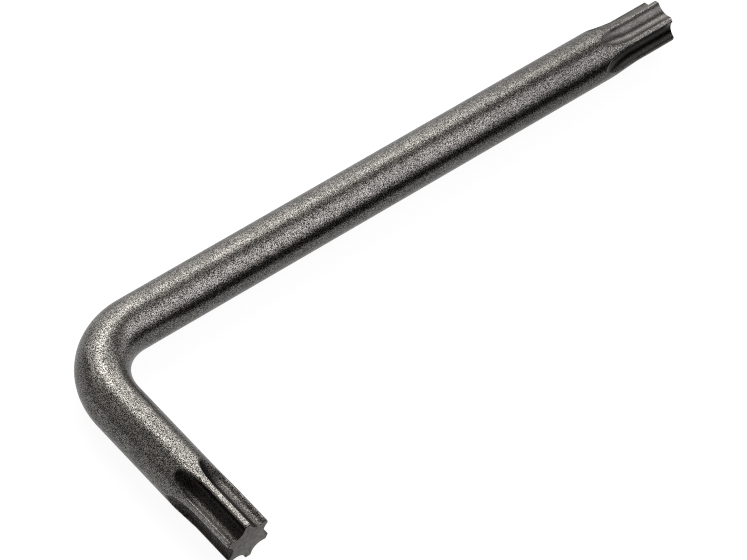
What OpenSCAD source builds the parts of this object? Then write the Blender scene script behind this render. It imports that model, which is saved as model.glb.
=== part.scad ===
// L-shaped star key: one round bar with a six-lobe star cut into each end, bent once to a right angle.
// The key lies flat. +X runs out along the long arm, -Y along the short arm, and +Z is up.
// The origin is the middle of the key's outline, on the surface that it lies on. Lengths are in millimetres.

/* [Bar] */
// Diameter of the round bar
bar_d = 7; // [5:0.1:10]
// Outside length of the long arm
long_len = 100.8; // [60:0.1:240]
// Outside length of the short arm
short_len = 37.8; // [32:0.1:80]
// Radius of the bend, on the middle line of the bar
bend_r = 9.15; // [6:0.05:14]

/* [Star] */
// Diameter over the lobes
star_d = 6.7; // [5.6:0.01:8]
// Diameter across the floors of the flutes
core_d = 4.77; // [3.6:0.01:5.4]
// Radius of the round floor of a flute
flute_r = 1.6; // [1:0.01:2.6]
// Length over which the star has its full depth
star_len = 6.2; // [3:0.1:9]
// Length over which a flute climbs back to the face of the bar
run_out_len = 4.8; // [2:0.1:8]
// Bevel round the end face
tip_bevel = 0.2; // [0.1:0.05:0.8]

/* [Turn] */
// Turn of the long arm's star, from a lobe that points straight up
long_turn = 42.5; // [0:0.5:60]
// Turn of the short arm's star, from a lobe that points straight up
short_turn = 5.5; // [0:0.5:60]

/* [Hidden] */
$fn = 96;
// What every cut runs past the face that it leaves by
overrun = 1;
// A six-lobe star
lobe_count = 6;
lobe_step = 360 / lobe_count;
bend_angle = 90;
quarter_turn = 90;
half_turn = 180;

// Reach of each arm, from the corner where the two middle lines would meet
long_reach = long_len - bar_d / 2;
short_reach = short_len - bar_d / 2;

// Where the lobes start and stop widening to the bar, as shares of the run-out
shoulder_shares = [0.2, 0.8];
// The cutter that makes a flute leaves the bar on an arc of its own radius
flute_depth = (bar_d - core_d) / 2;
cutter_r = (pow(run_out_len, 2) + pow(flute_depth, 2)) / (2 * flute_depth);

key_colour = [0.31, 0.31, 0.30];

// One flute of a star whose end face is at z = 0: a straight run and the arc by which the cutter leaves
module flute() {
    translate([core_d / 2 + flute_r, 0, -star_len])
        cylinder(r = flute_r, h = star_len + overrun);
    translate([core_d / 2 + cutter_r, 0, -star_len])
        rotate([-quarter_turn, 0, half_turn])
            rotate_extrude(angle = quarter_turn)
                translate([cutter_r - flute_r, 0])
                    circle(r = flute_r);
}

// The turned blank of an arm: it stands on the end of the bend, and its far end is narrowed and bevelled
module arm_blank(length) {
    rotate_extrude()
        polygon([
            [0, 0],
            [bar_d / 2, 0],
            [bar_d / 2, length - star_len - run_out_len * shoulder_shares[1]],
            [star_d / 2, length - star_len - run_out_len * shoulder_shares[0]],
            [star_d / 2, length - tip_bevel],
            [star_d / 2 - tip_bevel, length],
            [0, length]
        ]);
}

// An arm with its star: a lobe lies at the angle turn from the arm's own x direction
module arm(length, turn) {
    difference() {
        arm_blank(length);
        for (i = [0 : lobe_count - 1])
            rotate([0, 0, turn + (i + 1 / 2) * lobe_step])
                translate([0, 0, length])
                    flute();
    }
}

// The quarter ring between the arms
module bend() {
    translate([bend_r, -bend_r, 0])
        rotate([0, 0, bend_angle])
            rotate_extrude(angle = bend_angle)
                translate([bend_r, 0])
                    circle(d = bar_d);
}

module star_key() {
    color(key_colour)
        translate([bar_d / 2 - long_len / 2, short_len / 2 - bar_d / 2, bar_d / 2]) {
            translate([bend_r, 0, 0])
                rotate([0, quarter_turn, 0])
                    arm(long_reach - bend_r, long_turn);
            bend();
            translate([0, -bend_r, 0])
                rotate([quarter_turn, 0, 0])
                    rotate([0, 0, quarter_turn])
                        arm(short_reach - bend_r, short_turn);
        }
}

star_key();
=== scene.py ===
# %% [markdown]
# # A star key, dressed in Blender
# The object is an L-shaped key for screws with a six-lobe recess: one round steel bar, fluted at both
# ends and bent once to a right angle. The solid model gives its place and its sizes. This lesson makes a
# finer skin for it, gives the skin a coat of dark phosphate, and sets up the table, the lamps and the
# camera.

# %% Load the solid model
import math

import bmesh
import bpy
from mathutils import Matrix, Vector


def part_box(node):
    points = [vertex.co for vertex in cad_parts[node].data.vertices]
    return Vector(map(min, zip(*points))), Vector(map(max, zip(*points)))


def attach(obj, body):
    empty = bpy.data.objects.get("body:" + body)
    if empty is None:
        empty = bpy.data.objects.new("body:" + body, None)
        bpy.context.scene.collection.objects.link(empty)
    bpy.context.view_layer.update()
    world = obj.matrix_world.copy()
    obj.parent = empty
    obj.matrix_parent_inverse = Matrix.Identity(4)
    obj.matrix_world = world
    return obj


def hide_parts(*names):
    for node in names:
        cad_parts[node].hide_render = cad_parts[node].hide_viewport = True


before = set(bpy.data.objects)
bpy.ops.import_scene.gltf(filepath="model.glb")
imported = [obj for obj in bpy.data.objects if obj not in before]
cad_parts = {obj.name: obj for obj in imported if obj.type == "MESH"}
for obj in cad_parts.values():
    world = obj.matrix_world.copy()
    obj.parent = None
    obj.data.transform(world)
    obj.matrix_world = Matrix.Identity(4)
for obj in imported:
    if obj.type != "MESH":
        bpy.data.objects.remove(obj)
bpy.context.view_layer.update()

# %% [markdown]
# ## Sizes
# Blender counts in metres here, and a key is counted in millimetres, so one value turns the one into the
# other. The box round the solid gives the bar's thickness and both ends. The rest are sizes of the tool
# itself: the bend, and the star with its lobes, flutes and run-outs.

# %% Sizes of the key
MM = 0.001
CLOSE = 0.0005 * MM

low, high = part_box("star_key")
bar_r = (high.z - low.z) / 2
axis_x = low.x + bar_r
axis_y = high.y - bar_r
axis_z = low.z + bar_r
long_end = high.x
short_end = low.y

bend_r = 9.15 * MM
floor_r = 2.36 * MM
star_len = 6.2 * MM
run_out_len = 4.8 * MM

long_len = long_end - low.x
short_len = high.y - short_end
print(f"bar {2 * bar_r / MM:.1f} mm thick, arms {long_len / MM:.1f} and {short_len / MM:.1f} mm")

# %% [markdown]
# ## Small helpers
# In edit mode an operator acts on all that is selected. These helpers enter and leave edit mode on one
# piece, select edges by where they are, and run the few operators that come again and again.


# %% Helpers for edit mode
def edit(piece):
    """Opens one piece in edit mode, with nothing else selected."""
    bpy.ops.object.select_all(action="DESELECT")
    piece.select_set(True)
    bpy.context.view_layer.objects.active = piece
    bpy.ops.object.mode_set(mode="EDIT")


def done():
    """Leaves edit mode."""
    bpy.ops.object.mode_set(mode="OBJECT")


def pick_edges(test):
    """Selects the edges whose two ends pass the test, and nothing else."""
    bpy.ops.mesh.select_mode(type="EDGE")
    bpy.ops.mesh.select_all(action="DESELECT")
    shape = bmesh.from_edit_mesh(bpy.context.object.data)
    for edge in shape.edges:
        edge.select_set(test(edge.verts[0].co, edge.verts[1].co))
    bmesh.update_edit_mesh(bpy.context.object.data)


def extrude(move):
    """Pulls a new ring out of the selected one."""
    bpy.ops.mesh.extrude_region_move(TRANSFORM_OT_translate={"value": tuple(move)})


def ring(name, points, radius, middle):
    """Starts a piece as a circle of points that lies level round its middle, open in edit mode."""
    bpy.ops.object.select_all(action="DESELECT")
    bpy.ops.mesh.primitive_circle_add(vertices=points, radius=radius, location=middle)
    piece = bpy.context.object
    piece.name = name
    bpy.ops.object.transform_apply(location=True, rotation=True, scale=True)
    edit(piece)
    bpy.ops.mesh.select_all(action="SELECT")
    return piece


def apply_modifier(piece, kind, **settings):
    """Adds one modifier to a piece with its settings, and applies it."""
    bpy.ops.object.select_all(action="DESELECT")
    piece.select_set(True)
    bpy.context.view_layer.objects.active = piece
    bpy.ops.object.modifier_add(type=kind)
    modifier = piece.modifiers[-1]
    for name, value in settings.items():
        setattr(modifier, name, value)
    bpy.ops.object.modifier_apply(modifier=modifier.name)


def discard(piece):
    """Deletes a helper piece once it has done its work."""
    bpy.data.meshes.remove(piece.data)


# %% [markdown]
# ## The two tips
# Each arm ends in a star. A tip is told by the middle of its end face, the way that it points, and the
# side to which its turn is counted from straight up. The stars are pressed, so they aren't alike: one is
# turned further than the other, each stands a little off the middle of the bar, and some flutes run
# further in than the rest. The coat differs too, and it carries painted light. Each lobe has a share that
# tells how light it is, from rubbing and from painted shade or a painted highlight. Each flute has three:
# one for its first wall, one for its floor and one for its second wall, for its thick coat and for
# painted shade on walls that face away from the lamps. Two last shares tell how far the press smoothed
# the flutes, and how dark the painted shade line under each lobe's edge is.

# %% Where each tip is
UP = Vector((0, 0, 1))
LOBES = 6
PLAIN = (0.4, 0.4, 0.4)

# The lobe and flute shares below hold painted light: painted shade or a painted highlight on some lobes,
# and painted shade on flute walls that face away from the lamps, over the thick coat of the flutes. The
# crease share sets a painted shade line under the edge of each lobe.
TIPS = {
    "long": {
        "end": Vector((long_end, axis_y, axis_z)),
        "out": Vector((1, 0, 0)),
        "side": Vector((0, -1, 0)),
        "turn": math.radians(42.3),
        "lobe_r": 3.17 * MM,
        "flute_r": 1.75 * MM,
        "bevel": 0.03 * MM,
        "offset": Vector((-0.08, 0.12, 0)) * MM,
        "longer_flutes": (1.3 * MM, 0.3 * MM, 0, 0, 0, 0),
        "lobe_wear_and_painted_light": (1.1, 0.35, 1, 1, 1, 1.1),
        "flute_coat_and_painted_shade": ((0.26, 0.2, 0.18), PLAIN, PLAIN, PLAIN, (0.6, 0.6, 0.6), (0.84, 0.74, 0.66)),
        "smoothed": 1,
        "painted_edge_shade": 0.75,
    },
    "short": {
        "end": Vector((axis_x, short_end, axis_z)),
        "out": Vector((0, -1, 0)),
        "side": Vector((-1, 0, 0)),
        "turn": math.radians(5.5),
        "lobe_r": 3.42 * MM,
        "flute_r": 1.5 * MM,
        "bevel": 0.15 * MM,
        "offset": Vector((0.05, -0.155, 0)) * MM,
        "longer_flutes": (0.8 * MM, 0, 0, 0, 0.2 * MM, 0.6 * MM),
        "lobe_wear_and_painted_light": (1.2, 1.6, 1, 1, 1, 1.1),
        "flute_coat_and_painted_shade": ((0.14, 0.13, 0.65), (0.36, 0.3, 0.3), PLAIN, PLAIN, PLAIN, (1, 0.02, 0)),
        "smoothed": 0.3,
        "painted_edge_shade": 0.35,
    },
}


def depth(tip, point):
    """How far in from the end face of a tip a point lies, along the arm."""
    return (tip["end"] - point).dot(tip["out"])


print("stars turned by:", {name: round(math.degrees(tip["turn"]), 1) for name, tip in TIPS.items()})


# %% [markdown]
# ## The skin of the bar
# On the real key this is drawn steel bar, bent cold. The skin starts as a ring of points at the end of
# the long arm. It is pulled along the arm, turned round the bend with Spin and pulled along the short
# arm, so its faces are rows of tidy four-sided tiles all the way. Subdivide then gives the two tips many
# close rings, because the flutes are pressed into them next. Both tips run a little past the real ends,
# and are cut off square later.

# %% Pull the skin along the bar
COLUMNS = 240
BEND_STEPS = 48
past_end = 0.5 * MM
star_margin = 1.2 * MM
tip_margin = 4 * MM
star_zone = star_len + star_margin
tip_zone = star_len + run_out_len + tip_margin
ring_step = 0.11 * MM
bend_middle = Vector((axis_x + bend_r, axis_y - bend_r, axis_z))

skin = ring("star_key_skin", COLUMNS, bar_r, (0, 0, 0))
done()
skin.rotation_euler = (0, math.radians(90), 0)
skin.location = TIPS["long"]["end"] + TIPS["long"]["out"] * past_end
bpy.ops.object.transform_apply(location=True, rotation=True, scale=True)
edit(skin)
bpy.ops.mesh.select_all(action="SELECT")
for x_from, x_to in (
    (long_end + past_end, long_end - star_zone),
    (long_end - star_zone, long_end - tip_zone),
    (long_end - tip_zone, bend_middle.x),
):
    extrude((x_to - x_from, 0, 0))
bpy.ops.mesh.spin(steps=BEND_STEPS, angle=math.radians(90), center=bend_middle, axis=-UP)
for y_from, y_to in (
    (bend_middle.y, short_end + tip_zone),
    (short_end + tip_zone, short_end + star_zone),
    (short_end + star_zone, short_end - past_end),
):
    extrude((0, y_to - y_from, 0))

for tip in TIPS.values():
    for near, far in ((-past_end, star_zone), (star_zone, tip_zone)):
        half = (far - near) / 2
        pick_edges(
            lambda a, b: abs(depth(tip, a) - depth(tip, b)) > half
            and abs(depth(tip, a) + depth(tip, b) - near - far) < half
        )
        bpy.ops.mesh.subdivide(number_cuts=round((far - near) / ring_step))
bpy.ops.mesh.select_all(action="SELECT")
bpy.ops.mesh.normals_make_consistent(inside=False)
done()
print("skin:", len(skin.data.polygons), "tiles")

# %% [markdown]
# ## The press tool for a tip
# A real star is pressed or milled: six round-nosed grooves run in from the end and climb out of the bar
# on an arc. Here a plain turned blank loses six round cutters with the Boolean modifier. The result has
# the right form but untidy faces, so it serves only as a mould.

# %% Make a mould with six flutes
MOULD_POINTS = 360
CUTTER_POINTS = 128
RUN_OUT_STEPS = 40
overrun = 3 * MM
flute_depth = bar_r - floor_r
cutter_r = (run_out_len**2 + flute_depth**2) / (2 * flute_depth)
run_out_angle = math.radians(36)
shoulder_len = 3.65 * MM


def turned_blank(name, lobe_r, bevel, offset):
    """Makes the plain blank of one tip, standing up with its end at height zero."""
    rows = (
        (-star_len - shoulder_len, bar_r),
        (-star_len, lobe_r),
        (-bevel, lobe_r),
        (2 * past_end, lobe_r - bevel - 2 * past_end),
    )
    height, radius = -tip_zone - overrun, bar_r
    blank = ring(name, MOULD_POINTS, radius, (0, 0, height))
    for next_height, next_radius in rows:
        extrude(UP * (next_height - height))
        share = next_radius / radius
        bpy.ops.transform.resize(value=(share, share, 1), center_override=(0, 0, next_height))
        if next_radius < radius == bar_r:
            bpy.ops.transform.translate(value=offset)
        height, radius = next_height, next_radius
    bpy.ops.mesh.select_all(action="SELECT")
    bpy.ops.mesh.fill_holes(sides=0)
    bpy.ops.mesh.normals_make_consistent(inside=False)
    done()
    return blank


def flute_cutter(flute_r):
    """Makes one cutter, standing up: it is straight, then climbs out on an arc."""
    cutter = ring("flute_cutter", CUTTER_POINTS, flute_r, (floor_r + flute_r, 0, overrun))
    extrude(UP * (-star_len - overrun))
    bpy.ops.mesh.spin(
        steps=RUN_OUT_STEPS,
        angle=run_out_angle,
        center=(floor_r + cutter_r, 0, -star_len),
        axis=(0, 1, 0),
    )
    bpy.ops.mesh.select_all(action="SELECT")
    bpy.ops.mesh.fill_holes(sides=0)
    bpy.ops.mesh.normals_make_consistent(inside=False)
    done()
    return cutter


def star_mould(name, tip):
    """Makes the mould of one tip and puts it where the tip is."""
    mould = turned_blank(name, tip["lobe_r"], tip["bevel"], tip["offset"])
    cutter = flute_cutter(tip["flute_r"])
    for number, longer in enumerate(tip["longer_flutes"]):
        cutter.rotation_euler.z = tip["turn"] + (number + 0.5) * math.tau / LOBES
        cutter.location = tip["offset"] - UP * longer
        apply_modifier(mould, "BOOLEAN", operation="DIFFERENCE", solver="EXACT", object=cutter)
    discard(cutter)
    place = Matrix((UP, tip["side"], tip["out"])).transposed().to_4x4()
    place.translation = tip["end"]
    mould.data.transform(place)
    return mould


moulds = {name: star_mould(f"{name}_mould", tip) for name, tip in TIPS.items()}
print("moulds:", {name: len(mould.data.polygons) for name, mould in moulds.items()})

# %% [markdown]
# ## Pressing the flutes into the skin
# Shrinkwrap moves each point of a tip straight in until it meets the mould, so the skin takes the star's
# form and keeps its tidy rows. A touch of Smooth rounds the edges of the lobes, as pressing and a coat
# do. Bisect then cuts each end square and closes it, and Bevel takes the sharpness off the edge round the
# end face.

# %% Press the tips
PRESS_REACH = 2 * MM
SMOOTH_STRENGTH = 0.5
SMOOTH_ROUNDS = 4
EDGE_ROUND = 0.07 * MM
EDGE_STEPS = 2
SHARP_FROM = math.radians(32)

for name, tip in TIPS.items():
    group = skin.vertex_groups.new(name=name)
    reached = [v.index for v in skin.data.vertices if depth(tip, v.co) < tip_zone - CLOSE]
    group.add(reached, 1.0, "REPLACE")
    apply_modifier(
        skin,
        "SHRINKWRAP",
        target=moulds[name],
        vertex_group=name,
        wrap_method="PROJECT",
        use_negative_direction=True,
        use_positive_direction=True,
        project_limit=PRESS_REACH,
    )
    apply_modifier(skin, "SMOOTH", vertex_group=name, factor=SMOOTH_STRENGTH, iterations=SMOOTH_ROUNDS)
    discard(moulds[name])

edit(skin)
for tip in TIPS.values():
    bpy.ops.mesh.select_all(action="SELECT")
    bpy.ops.mesh.bisect(
        plane_co=tip["end"], plane_no=tip["out"], clear_outer=True, use_fill=True, threshold=CLOSE
    )
    pick_edges(lambda a, b: max(abs(depth(tip, a)), abs(depth(tip, b))) < CLOSE)
    bpy.ops.mesh.bevel(offset=EDGE_ROUND, segments=EDGE_STEPS, affect="EDGES")
done()
bpy.ops.object.shade_smooth_by_angle(angle=SHARP_FROM)
triangles = sum(len(tile.vertices) - 2 for tile in skin.data.polygons)
print("skin:", len(skin.data.polygons), "tiles,", triangles, "triangles")

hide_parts("star_key")
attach(skin, "root")

# %% [markdown]
# ## Where the coat is dark, and where light and shade are painted
# The coat looks different in the flutes, on the rubbed crests and on the cut ends, and on the tips it
# also carries painted light. A material can ask for that through an attribute: a number kept at each
# point of the mesh. One tells how light the coat is: 1 on the open bar, and less in a flute, partly
# because thick phosphate gathers there and partly as painted shade on walls that face away from the
# lamps. It also holds a thin line of painted shade under the edge of each lobe, and painted shade or a
# painted highlight on some lobes. The second tells how smooth the press left the coat, and the third
# marks the cut ends.

# %% Mark the flutes, the painted light and the cut ends
MARKS = ("coat_and_painted_light", "smoothed", "cut_end")
MARK_FROM = 0.03 * MM
MARK_TO = 0.13 * MM
EDGE_SHADE_AT = 0.09 * MM
EDGE_SHADE_TO = 0.42 * MM
RUBBED_SMOOTH = 0.45


def ease(value, start, stop):
    """Goes smoothly from 0 at the start to 1 at the stop."""
    share = min(max((value - start) / (stop - start), 0), 1)
    return share * share * (3 - 2 * share)


for name in MARKS:
    skin.data.attributes.new(name, "FLOAT", "POINT")
coat_and_painted_light, smoothed, cut_end = (skin.data.attributes[name].data for name in MARKS)

for vertex in skin.data.vertices:
    coat_and_painted_light[vertex.index].value = 1
    for tip in TIPS.values():
        inward = depth(tip, vertex.co)
        if inward > tip_zone:
            continue
        if inward < CLOSE:
            cut_end[vertex.index].value = 1
        taper = min(max((star_len + shoulder_len - inward) / shoulder_len, 0), 1)
        blank_r = bar_r + (tip["lobe_r"] - bar_r) * taper
        up, side = tip["offset"].xy * taper
        from_middle = vertex.co + tip["out"] * inward - tip["end"] - UP * up - tip["side"] * side
        below = blank_r - from_middle.length
        share = ease(below, MARK_FROM, MARK_TO)
        angle = math.atan2(from_middle.dot(tip["side"]), from_middle.dot(UP)) - tip["turn"]
        lobes_on = angle % math.tau / (math.tau / LOBES)
        flute = int(lobes_on) % LOBES
        # Each flute's wall and floor shares: its thicker coat, plus painted shade on walls that face away
        # from the lamps
        first_wall, floor, second_wall = tip["flute_coat_and_painted_shade"][flute]
        across = lobes_on % 1 * 2
        flute_coat_and_shade = first_wall + (floor - first_wall) * min(across, 1)
        flute_coat_and_shade += (second_wall - floor) * max(across - 1, 0) ** 2
        # Each lobe's share: rubbing, plus painted shade or a painted highlight by how the lamps fall on
        # it
        worn_and_painted_lobe = 1 + (tip["lobe_wear_and_painted_light"][round(lobes_on) % LOBES] - 1) * taper
        smoothed[vertex.index].value = max(share * tip["smoothed"], RUBBED_SMOOTH * taper)
        # A thin line of painted shade just under the edge of each lobe, deepest at the crease share
        edge_shade_line = ease(below, 0, EDGE_SHADE_AT) * (1 - ease(below, EDGE_SHADE_AT, EDGE_SHADE_TO))
        plain = worn_and_painted_lobe + share * (flute_coat_and_shade - worn_and_painted_lobe)
        coat_and_painted_light[vertex.index].value = plain * (1 - tip["painted_edge_shade"] * taper * edge_shade_line)

print("points with a darker coat:", sum(mark.value < 1 for mark in coat_and_painted_light))
print("points round the cut ends:", sum(mark.value == 1 for mark in cut_end))

# %% [markdown]
# ## Wiring nodes
# A material is a tree of nodes. These helpers add a node with its settings and plug one node into the
# next, so the cells below read like the wiring that you would do by hand in the Shader Editor.


# %% Helpers for node trees
def add_node(tree, kind, **settings):
    """Adds a node. A setting goes on the node if it has one of that name, and else on its socket."""
    node = tree.nodes.new(kind)
    for name, value in settings.items():
        if hasattr(node, name):
            setattr(node, name, value)
        else:
            node.inputs[name.replace("_", " ").title()].default_value = value
    return node


def plug(tree, output, socket):
    """Runs a link from an output to an input."""
    tree.links.new(output, socket)


# %% [markdown]
# ## The phosphate coat
# Phosphate grows on steel as a skin of tiny crystals. Each crystal leans its own way and holds its own
# share of oil, so under a lamp the bar glitters in fine grains of light and dark. A Voronoi texture cuts
# space into such cells and gives each one a colour by chance. Here one part of that colour is the grain's
# tone, and the whole of it tilts the grain's face. Image noise would swim from view to view, while these
# grains stay on the steel.

# %% The grains as a node group
MIDDLE_COLOUR = (0.5, 0.5, 0.5)

grains = bpy.data.node_groups.new("phosphate_grains", "ShaderNodeTree")
grains.interface.new_socket("Place", in_out="INPUT", socket_type="NodeSocketVector")
grains.interface.new_socket("Scale", in_out="INPUT", socket_type="NodeSocketFloat")
grains.interface.new_socket("Tilt", in_out="INPUT", socket_type="NodeSocketFloat")
grains.interface.new_socket("Tone", in_out="OUTPUT", socket_type="NodeSocketFloat")
grains.interface.new_socket("Normal", in_out="OUTPUT", socket_type="NodeSocketVector")

given = add_node(grains, "NodeGroupInput")
result = add_node(grains, "NodeGroupOutput")
cells = add_node(grains, "ShaderNodeTexVoronoi")
parts = add_node(grains, "ShaderNodeSeparateColor")
lean = add_node(grains, "ShaderNodeVectorMath", operation="SUBTRACT")
lean.inputs[1].default_value = MIDDLE_COLOUR
lean_by = add_node(grains, "ShaderNodeVectorMath", operation="SCALE")
face = add_node(grains, "ShaderNodeNewGeometry")
tilted = add_node(grains, "ShaderNodeVectorMath", operation="ADD")
unit = add_node(grains, "ShaderNodeVectorMath", operation="NORMALIZE")

plug(grains, given.outputs["Place"], cells.inputs["Vector"])
plug(grains, given.outputs["Scale"], cells.inputs["Scale"])
plug(grains, cells.outputs["Color"], parts.inputs["Color"])
plug(grains, parts.outputs["Red"], result.inputs["Tone"])
plug(grains, cells.outputs["Color"], lean.inputs[0])
plug(grains, lean.outputs["Vector"], lean_by.inputs[0])
plug(grains, given.outputs["Tilt"], lean_by.inputs["Scale"])
plug(grains, face.outputs["Normal"], tilted.inputs[0])
plug(grains, lean_by.outputs["Vector"], tilted.inputs[1])
plug(grains, tilted.outputs["Vector"], unit.inputs[0])
plug(grains, unit.outputs["Vector"], result.inputs["Normal"])
print("grain group:", len(grains.nodes), "nodes")

# %% [markdown]
# ## The steel
# The coat is thick and dark in the flutes, where nothing rubs it, and thin on the open bar, and the marks
# add painted shade and painted highlights on the tips as well. Soft clouds run through it, and it darkens
# from the short arm to the long tip as painted light: a painted highlight on the short arm and painted
# shade on the far half of the long arm. A film of oil gives a second, softer gloss, which the thick coat
# of the flutes and the painted shade soak up. The ends are cut steel under a thin coat: satin with a fine
# mottle and no glitter. Each of these is the same metal with other numbers, so Map Range nodes turn the
# three marks into tilt, darkness, oil and roughness.

# %% The steel's masks
steel = bpy.data.materials.new("phosphated_steel")
steel.use_nodes = True
wires = steel.node_tree
shader = wires.nodes["Principled BSDF"]
shader.inputs["Metallic"].default_value = 1
shader.inputs["Coat Roughness"].default_value = 0.3

place = add_node(wires, "ShaderNodeTexCoord")
# This mark carries the coat's tone together with the painted shade and painted highlights of the tips
coat_and_painted_light_mark = add_node(wires, "ShaderNodeAttribute", attribute_name="coat_and_painted_light")
smooth_mark = add_node(wires, "ShaderNodeAttribute", attribute_name="smoothed")
end_mark = add_node(wires, "ShaderNodeAttribute", attribute_name="cut_end")
print("marks that the steel reads:", MARKS)


def ramp(source, from_min, from_max, to_min, to_max):
    """Adds a Map Range that eases from one value to another, and returns its output."""
    node = add_node(wires, "ShaderNodeMapRange", interpolation_type="SMOOTHSTEP")
    plug(wires, source, node.inputs["Value"])
    node.inputs["From Min"].default_value = from_min
    node.inputs["From Max"].default_value = from_max
    node.inputs["To Min"].default_value = to_min
    node.inputs["To Max"].default_value = to_max
    return node.outputs["Result"]


# %% The tilt of the grains
GRAINS_PER_METRE = 19000
GRAIN_TILT = 0.16
CUT_END_TILT = 0.02
PRESSED_TILT_SHARE = 0.6

speckle = add_node(wires, "ShaderNodeGroup", node_tree=grains, scale=GRAINS_PER_METRE)
plug(wires, place.outputs["Object"], speckle.inputs["Place"])
tilt = add_node(wires, "ShaderNodeMath", operation="MULTIPLY")
plug(wires, ramp(end_mark.outputs["Fac"], 0, 1, GRAIN_TILT, CUT_END_TILT), tilt.inputs[0])
plug(wires, ramp(smooth_mark.outputs["Fac"], 0, 1, 1, PRESSED_TILT_SHARE), tilt.inputs[1])
plug(wires, tilt.outputs["Value"], speckle.inputs["Tilt"])
print("grains:", GRAINS_PER_METRE * MM, "to the millimetre")

# %% The tone of the grains
DARK_GRAIN = (0.0143, 0.013, 0.0118, 1)
LIGHT_GRAIN = (0.374, 0.357, 0.336, 1)
TONE_FROM = 0.61
TONE_TO = 0.71
PRESSED_DARK = 0.28
PRESSED_LIGHT = 0.72

coat = add_node(wires, "ShaderNodeMix", data_type="RGBA")
coat.inputs["A"].default_value = DARK_GRAIN
coat.inputs["B"].default_value = LIGHT_GRAIN
tone = ramp(speckle.outputs["Tone"], TONE_FROM, TONE_TO, 0, 1)
plug(wires, ramp(smooth_mark.outputs["Fac"], 0, 1, 0, PRESSED_DARK), tone.node.inputs["To Min"])
plug(wires, ramp(smooth_mark.outputs["Fac"], 0, 1, 1, PRESSED_LIGHT), tone.node.inputs["To Max"])
plug(wires, tone, coat.inputs["Factor"])
print("light grains:", round(1 - (TONE_FROM + TONE_TO) / 2, 2), "of all")

# %% Clouds, and the painted light along the bar
NOISE_FROM = 0.3
NOISE_TO = 0.7
CLOUD_DARK = 0.88
CLOUD_LIGHT = 1.12
# Painted light along the bar: the short arm lighter as a painted highlight, the long arm's far half
# darker as painted shade
SHORT_ARM_PAINTED_HIGHLIGHT = 1.07
PAST_BEND_PAINTED_LIGHT = 0.98
NEAR_HALF_PAINTED_LIGHT = 1.06
FAR_HALF_PAINTED_SHADE = 0.75
bend_from = axis_x + 0.9 * MM
bend_to = axis_x + 12.9 * MM
far_from = long_end - 42.4 * MM
far_to = long_end - 18.4 * MM

clouds = add_node(wires, "ShaderNodeTexNoise", scale=420, detail=2)
plug(wires, place.outputs["Object"], clouds.inputs["Vector"])
along = add_node(wires, "ShaderNodeSeparateXYZ")
plug(wires, place.outputs["Object"], along.inputs["Vector"])
uneven = add_node(wires, "ShaderNodeMath", operation="MULTIPLY")
plug(wires, ramp(clouds.outputs["Fac"], NOISE_FROM, NOISE_TO, CLOUD_DARK, CLOUD_LIGHT), uneven.inputs[0])
# The painted highlight and painted shade along the bar, multiplied together
arms = add_node(wires, "ShaderNodeMath", operation="MULTIPLY")
painted_bend_light = ramp(along.outputs["X"], bend_from, bend_to, SHORT_ARM_PAINTED_HIGHLIGHT, PAST_BEND_PAINTED_LIGHT)
painted_far_shade = ramp(along.outputs["X"], far_from, far_to, NEAR_HALF_PAINTED_LIGHT, FAR_HALF_PAINTED_SHADE)
plug(wires, painted_bend_light, arms.inputs[0])
plug(wires, painted_far_shade, arms.inputs[1])
plug(wires, arms.outputs["Value"], uneven.inputs[1])
lightness = add_node(wires, "ShaderNodeMath", operation="MULTIPLY")
plug(wires, uneven.outputs["Value"], lightness.inputs[0])
plug(wires, coat_and_painted_light_mark.outputs["Fac"], lightness.inputs[1])
shaded = add_node(wires, "ShaderNodeVectorMath", operation="SCALE")
plug(wires, coat.outputs["Result"], shaded.inputs[0])
plug(wires, lightness.outputs["Value"], shaded.inputs["Scale"])
print("coat darkens over", round((far_to - far_from) / MM), "mm of the long arm")

# %% The cut ends
CUT_DARK = (0.13, 0.123, 0.114, 1)
CUT_LIGHT = (0.223, 0.211, 0.196, 1)

scuffs = add_node(wires, "ShaderNodeTexNoise", scale=1800, detail=3)
plug(wires, place.outputs["Object"], scuffs.inputs["Vector"])
cut = add_node(wires, "ShaderNodeMix", data_type="RGBA")
cut.inputs["A"].default_value = CUT_DARK
cut.inputs["B"].default_value = CUT_LIGHT
plug(wires, ramp(scuffs.outputs["Fac"], NOISE_FROM, NOISE_TO, 0, 1), cut.inputs["Factor"])

bare = add_node(wires, "ShaderNodeMix", data_type="RGBA")
plug(wires, cut.outputs["Result"], bare.inputs["B"])
plug(wires, end_mark.outputs["Fac"], bare.inputs["Factor"])
plug(wires, shaded.outputs["Vector"], bare.inputs["A"])
plug(wires, bare.outputs["Result"], shader.inputs["Base Color"])
print("cut ends: mottled from", CUT_DARK[0], "to", CUT_LIGHT[0])

# %% The gloss
COAT_ROUGHNESS = 0.27
CUT_ROUGHNESS = 0.45
DRY_BELOW = 0.1
OIL = 0.3

roughness = ramp(end_mark.outputs["Fac"], 0, 1, COAT_ROUGHNESS, CUT_ROUGHNESS)
oil = ramp(coat_and_painted_light_mark.outputs["Fac"], DRY_BELOW, 1, 0, OIL)
plug(wires, roughness, shader.inputs["Roughness"])
plug(wires, oil, shader.inputs["Coat Weight"])
plug(wires, speckle.outputs["Normal"], shader.inputs["Normal"])
skin.data.materials.clear()
skin.data.materials.append(steel)
print("steel:", len(wires.nodes), "nodes")

# %% [markdown]
# ## The table
# A key is photographed on a white table that sweeps up at its far edge, so no horizon shows. The table
# starts as a filled circle, and its rim is pulled out and up three times. Its colour is a plain grey that
# takes the key's shadow. Light Path tells which ray asks: to the camera the table adds a glow up to
# white, and in the steel's gloss a weaker one, so the metal mirrors a pale table.

# %% The sweep of the table
TABLE_POINTS = 96
TABLE_R = 1.2
SWEEP = ((1.3, 0.02), (1.2, 0.06), (1.12, 0.1))
TABLE_SMOOTH = math.radians(60)

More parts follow.
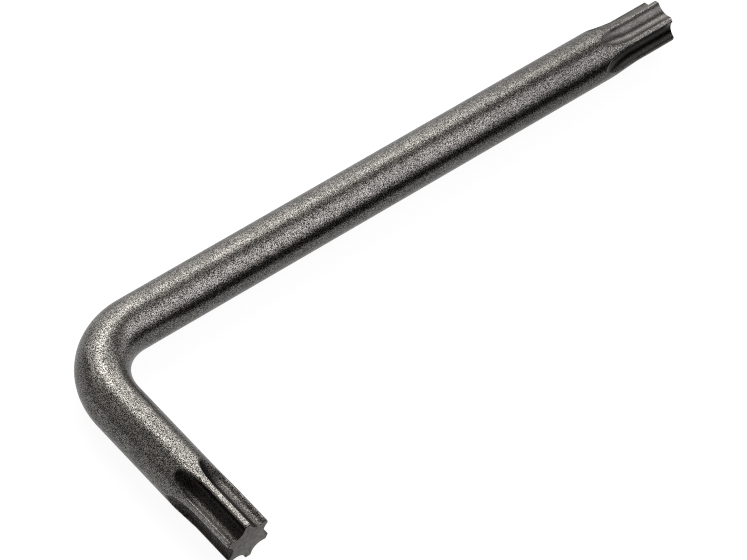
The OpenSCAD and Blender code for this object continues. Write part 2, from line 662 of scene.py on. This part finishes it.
bpy.ops.object.select_all(action="DESELECT")
bpy.ops.mesh.primitive_circle_add(
    vertices=TABLE_POINTS, radius=TABLE_R, fill_type="NGON", location=(0, 0, low.z)
)
table = bpy.context.object
table.name = "table"
edit(table)
bpy.ops.mesh.select_mode(type="EDGE")
for outward, upward in SWEEP:
    bpy.ops.mesh.select_all(action="SELECT")
    bpy.ops.mesh.region_to_loop()
    bpy.ops.mesh.extrude_edges_move()
    bpy.ops.transform.resize(value=(outward, outward, 1), center_override=(0, 0, 0))
    bpy.ops.transform.translate(value=(0, 0, upward))
done()
bpy.ops.object.shade_smooth_by_angle(angle=TABLE_SMOOTH)
print("table:", len(table.data.polygons), "faces")

# %% The table's white
GLOW_TO_CAMERA = 0.93
GLOW_IN_GLOSS = 0.52

white = bpy.data.materials.new("white_table")
white.use_nodes = True
table_wires = white.node_tree
paint = table_wires.nodes["Principled BSDF"]
paint.inputs["Base Color"].default_value = (0.12, 0.12, 0.12, 1)
paint.inputs["Roughness"].default_value = 0.8
paint.inputs["Emission Color"].default_value = (1, 1, 1, 1)
ray = add_node(table_wires, "ShaderNodeLightPath")
through = add_node(table_wires, "ShaderNodeMath", operation="MAXIMUM")
plug(table_wires, ray.outputs["Is Camera Ray"], through.inputs[0])
plug(table_wires, ray.outputs["Is Transmission Ray"], through.inputs[1])
glow = add_node(table_wires, "ShaderNodeMath", operation="MULTIPLY")
glow.inputs[1].default_value = GLOW_TO_CAMERA
plug(table_wires, through.outputs["Value"], glow.inputs[0])
gloss_glow = add_node(table_wires, "ShaderNodeMath", operation="MULTIPLY_ADD")
gloss_glow.inputs[1].default_value = GLOW_IN_GLOSS
plug(table_wires, ray.outputs["Is Glossy Ray"], gloss_glow.inputs[0])
plug(table_wires, glow.outputs["Value"], gloss_glow.inputs[2])
plug(table_wires, gloss_glow.outputs["Value"], paint.inputs["Emission Strength"])
table.data.materials.append(white)
print("table: glow", GLOW_TO_CAMERA, "to the camera and", GLOW_IN_GLOSS, "in gloss")

# %% [markdown]
# ## The black flag
# Round metal on a white table goes flat and pale, so a photographer lays a black cloth in front of it,
# just out of the picture. The steel mirrors the cloth as a dark band low on the long arm. Here the cloth
# is a plane with its far edge lifted, and only the gloss of the steel can see it.

# %% Lay the flag
flag_near = axis_y - 12 * MM
flag_far = axis_y - 120 * MM
flag_left = -25 * MM
flag_right = 260 * MM
flag_lift = 0.3 * MM
flag_rise = Vector((0, -20, 42)) * MM

bpy.ops.object.select_all(action="DESELECT")
bpy.ops.mesh.primitive_plane_add(size=1)
flag = bpy.context.object
flag.name = "black_flag"
edit(flag)
bpy.ops.mesh.select_all(action="SELECT")
flag_wide = flag_right - flag_left
flag_deep = flag_near - flag_far
flag_middle = ((flag_left + flag_right) / 2, (flag_near + flag_far) / 2, flag_lift)
bpy.ops.transform.resize(value=(flag_wide, flag_deep, 1), center_override=(0, 0, 0))
bpy.ops.transform.translate(value=flag_middle)
pick_edges(lambda a, b: max(a.y, b.y) < flag_far + MM)
extrude(flag_rise)
done()
flag.visible_camera = False
flag.visible_diffuse = False
flag.visible_shadow = False
flag.visible_transmission = False

cloth = bpy.data.materials.new("black_cloth")
cloth.use_nodes = True
weave = cloth.node_tree.nodes["Principled BSDF"]
weave.inputs["Base Color"].default_value = (0.004, 0.004, 0.004, 1)
weave.inputs["Roughness"].default_value = 1
weave.inputs["Specular IOR Level"].default_value = 0
flag.data.materials.append(cloth)
print("flag:", round(flag_wide / MM), "by", round(flag_deep / MM), "mm")

# %% [markdown]
# ## The softboxes
# A round bar shows each lamp as a band of light along its length, so the lamps are set by the bands in
# view. A large softbox behind the key gives the light top of both arms, and one in front gives the second
# band of the long arm. The smaller ones sharpen these bands, and the dim ones keep the gaps between them
# from going black. Each is told by its direction from the key, by how wide and high it looks from there,
# and by its brightness.


# %% Set up the softboxes
AWAY = 0.7


def aim(azimuth, elevation):
    """The direction at an azimuth, counted from +X to +Y, and an elevation, both in degrees."""
    level = math.cos(math.radians(elevation))
    across = math.radians(azimuth)
    return Vector((math.cos(across) * level, math.sin(across) * level, math.sin(math.radians(elevation))))


def softbox(name, azimuth, elevation, width, height, brightness, colour):
    """Adds a lamp that faces the key and looks as wide and high as these angles, in degrees."""
    bpy.ops.object.select_all(action="DESELECT")
    bpy.ops.object.light_add(type="AREA", location=aim(azimuth, elevation) * AWAY)
    lamp = bpy.context.object
    lamp.name = name
    lamp.rotation_euler = (-lamp.location).to_track_quat("-Z", "Y").to_euler()
    lamp.data.shape = "RECTANGLE"
    lamp.data.size = 2 * AWAY * math.tan(math.radians(width / 2))
    lamp.data.size_y = 2 * AWAY * math.tan(math.radians(height / 2))
    lamp.data.energy = math.pi * lamp.data.size * lamp.data.size_y * brightness
    lamp.data.color = colour


WARM = (1, 0.99, 0.965)
COOL = (0.985, 0.975, 1)

# Azimuth, elevation, width and height are in degrees, and then comes the brightness
softbox("back_softbox", 70, 33, 64, 44, 1.24, WARM)
softbox("back_core", 72, 50, 24, 20, 2.63, WARM)
softbox("back_high", 62, 58, 26, 20, 1.39, WARM)
softbox("back_middle", 62, 36, 24, 20, 0.88, WARM)
softbox("back_low", 68, 8, 30, 12, 0.96, WARM)
softbox("right_core", 38, 37, 18, 18, 1.94, WARM)
softbox("right_low", 25, 24, 16, 18, 2.78, WARM)
softbox("front_softbox", -45, 44, 44, 34, 1.99, COOL)
softbox("front_low", -40, 22, 34, 14, 1.08, COOL)
softbox("corner_low", -15, 14, 34, 26, 0.66, COOL)
softbox("top_softbox", 30, 70, 56, 24, 0.25, WARM)
softbox("left_softbox", 137, 38, 44, 40, 0.26, WARM)

# %% [markdown]
# ## The room
# The rest of the room is a plain dim world, a little warm, which fills in what no softbox reaches.

# %% Fill the room
room = bpy.data.worlds.new("room")
bpy.context.scene.world = room
room.use_nodes = True
fill = room.node_tree.nodes["Background"]
fill.inputs["Color"].default_value = (1, 0.98, 0.94, 1)
fill.inputs["Strength"].default_value = 0.25
print("room: strength", round(fill.inputs["Strength"].default_value, 2))

# %% [markdown]
# ## The camera
# The camera looks down at the key from half way up the sky with a long lens, so the arms hardly narrow
# with distance. It is told by the point that it looks at, its distance, its two angles and a small roll.
# Blender's denoiser would take the glitter of the coat for noise and smear it, so it is switched off, and
# a narrow pixel filter keeps each grain crisp.

# %% Place the camera
camera_target = Vector((-8.61, 3.38, 3.5)) * MM
camera_distance = 626.2 * MM
camera_azimuth = math.radians(-46.42)
camera_elevation = math.radians(50.61)
camera_roll = math.radians(8.59)

bpy.ops.object.select_all(action="DESELECT")
bpy.ops.object.camera_add()
camera = bpy.context.object
sight = Vector((
    -math.sin(camera_azimuth) * math.cos(camera_elevation),
    math.cos(camera_azimuth) * math.cos(camera_elevation),
    -math.sin(camera_elevation),
))
camera.location = camera_target - sight * camera_distance
turn = sight.to_track_quat("-Z", "Y") @ Matrix.Rotation(camera_roll, 3, "Z").to_quaternion()
camera.rotation_euler = turn.to_euler()
camera.data.sensor_width = 36
camera.data.lens = 240.96
camera.data.clip_start = 0.01

scene = bpy.context.scene
scene.camera = camera
scene.view_settings.view_transform = "Standard"
scene.cycles.use_denoising = False
scene.cycles.filter_width = 1.1
print("camera at", tuple(round(c / MM) for c in camera.location), "mm")
